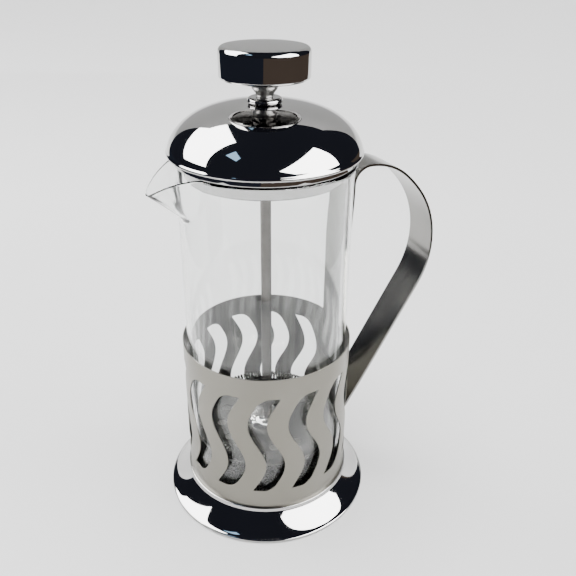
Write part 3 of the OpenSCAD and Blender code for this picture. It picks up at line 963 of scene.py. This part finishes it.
# CAD nodes shown as they are, with only a material added
keptNodes = {"seat_ring": steels["discSteel"], "base_disc": steels["discSteel"],
             "bush_nut": steels["rodSteel"], "knob_base": steels["pressedSteel"],
             "knob_core": plastic}
for name, material in keptNodes.items():
    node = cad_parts[name]
    node.data.materials.clear()
    node.data.materials.append(material)


# where the camera stands before it is turned about the axis, its angles and its lens in mm
cameraView = {"distance": 238.3 * mm, "height": 221.0 * mm, "side": 8.6 * mm, "turn": -25.1,
              "tilt": 28.0, "roll": 0.57, "lens": 42.7, "near": 0.01}


def viewTurn():
    # turns about the axis what is laid out as seen from straight in front
    return Matrix.Rotation(math.radians(cameraView["turn"]), 4, "Z")


def makeCamera():
    view = cameraView
    tilt = Matrix.Rotation(math.radians(90 - view["tilt"]), 4, "X")
    roll = Matrix.Rotation(math.radians(view["roll"]), 4, "Z")
    data = bpy.data.cameras.new("camera")
    data.lens = view["lens"]
    data.clip_start = view["near"]
    camera = bpy.data.objects.new("camera", data)
    place = Matrix.Translation((view["side"], -view["distance"], view["height"]))
    camera.matrix_world = viewTurn() @ place @ tilt @ roll
    bpy.context.scene.collection.objects.link(camera)
    bpy.context.scene.camera = camera


stageShape = {"depth": 0.55, "curve": 0.22, "high": 0.80, "halfWide": 0.45, "floorReach": 2.2,
              "floorSink": 0.05 * mm, "bendPoints": 16, "floorPoints": 64}
paperLook = {"pale": (0.86, 0.86, 0.86), "shadedTop": (0.36, 0.36, 0.355), "highEdge": (0.17, 0.24),
             "roughness": 0.9, "shine": 0.1}


def shadedPaperMaterial():
    # pale paper with painted shade that makes it dimmer high up, above the part seen behind the
    # object
    look = paperLook
    material, tree, shader = newMaterial("palePaperShadedTop")
    place = tree.nodes.new("ShaderNodeTexCoord")
    parts = tree.nodes.new("ShaderNodeSeparateXYZ")
    tree.links.new(place.outputs["Object"], parts.inputs["Vector"])
    high = tree.nodes.new("ShaderNodeMapRange")
    high.interpolation_type = "SMOOTHSTEP"
    high.inputs["From Min"].default_value = look["highEdge"][0]
    high.inputs["From Max"].default_value = look["highEdge"][1]
    tree.links.new(parts.outputs["Z"], high.inputs["Value"])
    # the paper above the edge height is painted darker, as shade
    base = colourBetween(tree, high.outputs["Result"], look["pale"], look["shadedTop"])
    tree.links.new(base, shader.inputs["Base Color"])
    shader.inputs["Roughness"].default_value = look["roughness"]
    shader.inputs["Specular IOR Level"].default_value = look["shine"]
    return material


def makeStage():
    # paper that curves up behind the object, on a wide round floor
    shape = stageShape
    paper = shadedPaperMaterial()
    bm = bmesh.new()
    bend = (shape["depth"] - shape["curve"], shape["curve"])
    line = [(0, 0)] + arc(bend, shape["curve"], -90, 0, shape["bendPoints"])
    line.append((shape["depth"], shape["high"]))
    verts, edges = sideWire(bm, line, closed=False)
    for vert in verts:
        vert.co = (-shape["halfWide"], vert.co.x, vert.co.z)
    grown = bmesh.ops.extrude_edge_only(bm, edges=edges)["geom"]
    moved = [g for g in grown if isinstance(g, bmesh.types.BMVert)]
    bmesh.ops.translate(bm, verts=moved, vec=(2 * shape["halfWide"], 0, 0))
    bmesh.ops.transform(bm, verts=bm.verts[:], matrix=viewTurn())
    bmesh.ops.recalc_face_normals(bm, faces=bm.faces[:])
    for face in bm.faces:
        face.smooth = True
    stageObject("backdrop", bm, paper)
    bm = bmesh.new()
    bmesh.ops.create_circle(bm, cap_ends=True, radius=shape["floorReach"],
                            segments=shape["floorPoints"],
                            matrix=Matrix.Translation((0, 0, -shape["floorSink"])))
    stageObject("floor", bm, paper)


def stageObject(name, bm, material):
    mesh = bpy.data.meshes.new(name)
    bm.to_mesh(mesh)
    bm.free()
    made = bpy.data.objects.new(name, mesh)
    mesh.materials.append(material)
    bpy.context.scene.collection.objects.link(made)
    return made


# lit panes seen in reflections and through the glass, with corners as (azimuth from the
# camera's side, elevation) from the object
windows = {
    "leftWindow": {"corners": [(-159, 42), (-98, 70), (-80, 52), (-68, 14), (-102, 10), (-114, 22),
                               (-128, 31), (-150, 36)], "power": 14, "colour": (1, 1, 1)},
    "rightWindow": {"corners": [(92, 53), (92, 6), (66, 3), (35, 10), (18, 23), (48, 44)],
                    "power": 14, "colour": (1, 1, 1)},
    "bluePane": {"corners": [(-57, 62), (-36, 52), (-38, 44), (-60, 50)], "power": 2.2,
                 "colour": (0.45, 0.72, 1.0)},
}
windowPlace = {"distance": 1.5, "heart": 0.12}


def lampMaterial(name, colour, power):
    material, tree, shader = newMaterial(name)
    tree.nodes.remove(shader)
    lamp = addNode(tree, "ShaderNodeEmission", Color=(*colour, 1), Strength=power)
    tree.links.new(lamp.outputs["Emission"], tree.nodes["Material Output"].inputs["Surface"])
    return material


def directionTo(side, high):
    # from the object, with azimuth measured from the camera's side
    a, e = math.radians(cameraView["turn"] - 90 + side), math.radians(high)
    return Vector((math.cos(a) * math.cos(e), math.sin(a) * math.cos(e), math.sin(e)))


# dark cards flat on the floor, seen only in reflections, with corners across and behind
cards = {
    "leftCard": {"colour": (0.022, 0.026, 0.04),
                 "corners": [(-0.02, -0.22), (-0.25, -0.22), (-0.25, 0.19), (-0.46, 0.21),
                             (-0.46, 2.2), (-2.2, 2.2), (-2.2, -2.2), (-0.02, -2.2)]},
    "rightCard": {"colour": (0.11, 0.082, 0.066),
                  "corners": [(-0.02, -0.22), (0.25, -0.22), (0.25, 0.19), (0.46, 0.21),
                              (0.46, 2.2), (2.2, 2.2), (2.2, -2.2), (-0.02, -2.2)]},
}


cardHeight = 1 * mm


def onlyReflected(thing):
    thing.visible_camera = False
    thing.visible_diffuse = False
    thing.visible_transmission = False
    thing.visible_shadow = False


def makeCard(name, look):
    bm = bmesh.new()
    bm.faces.new([bm.verts.new((x, y, cardHeight)) for x, y in look["corners"]])
    bm.normal_update()
    bmesh.ops.triangulate(bm, faces=bm.faces[:], ngon_method="EAR_CLIP")
    bmesh.ops.transform(bm, verts=bm.verts[:], matrix=viewTurn())
    onlyReflected(stageObject(name, bm, lampMaterial(name, look["colour"], 1.0)))


def makeWindow(name, look):
    heart = Vector((0, 0, windowPlace["heart"]))
    bm = bmesh.new()
    verts = [bm.verts.new(heart + directionTo(side, high) * windowPlace["distance"])
             for side, high in look["corners"]]
    bmesh.ops.contextual_create(bm, geom=verts)
    bmesh.ops.triangulate(bm, faces=bm.faces[:])
    pane = stageObject(name, bm, lampMaterial(name, look["colour"], look["power"]))
    pane.visible_camera = False
    pane.visible_diffuse = False


roomLook = {"dark": (0.020, 0.022, 0.032), "pale": (0.80, 0.81, 0.82), "paleStrength": 1.0}


def makeWorld():
    # a dark room for reflections, pale where the camera looks past the floor
    world = bpy.data.worlds.new("room")
    world.use_nodes = True
    tree = world.node_tree
    shade = tree.nodes["Background"]
    shade.inputs["Color"].default_value = (*roomLook["dark"], 1)
    pale = addNode(tree, "ShaderNodeBackground", Color=(*roomLook["pale"], 1),
                   Strength=roomLook["paleStrength"])
    path = tree.nodes.new("ShaderNodeLightPath")
    mix = tree.nodes.new("ShaderNodeMixShader")
    tree.links.new(path.outputs["Is Camera Ray"], mix.inputs["Fac"])
    tree.links.new(shade.outputs["Background"], mix.inputs[1])
    tree.links.new(pale.outputs["Background"], mix.inputs[2])
    tree.links.new(mix.outputs["Shader"], tree.nodes["World Output"].inputs["Surface"])
    bpy.context.scene.world = world


# soft lamps that reflections don't show, placed by the same azimuth and elevation
lamps = {"leftLamp": {"side": -105, "high": 42, "distance": 1.5, "size": 1.1, "power": 150},
         "rightLamp": {"side": 75, "high": 40, "distance": 1.5, "size": 1.0, "power": 34},
         "topLamp": {"side": 0, "high": 88, "distance": 1.6, "size": 1.6, "power": 60}}


def makeLamp(name, look):
    data = bpy.data.lights.new(name, "AREA")
    data.shape = "DISK"
    data.size = look["size"]
    data.energy = look["power"]
    lamp = bpy.data.objects.new(name, data)
    way = directionTo(look["side"], look["high"])
    lamp.location = way * look["distance"]
    lamp.rotation_euler = way.to_track_quat("Z", "Y").to_euler()
    lamp.visible_glossy = False
    lamp.visible_camera = False
    bpy.context.scene.collection.objects.link(lamp)


makeCamera()
makeStage()
for name, look in windows.items():
    makeWindow(name, look)
for name, look in cards.items():
    makeCard(name, look)
makeWorld()
for name, setting in lamps.items():
    makeLamp(name, setting)
print("stage lit")
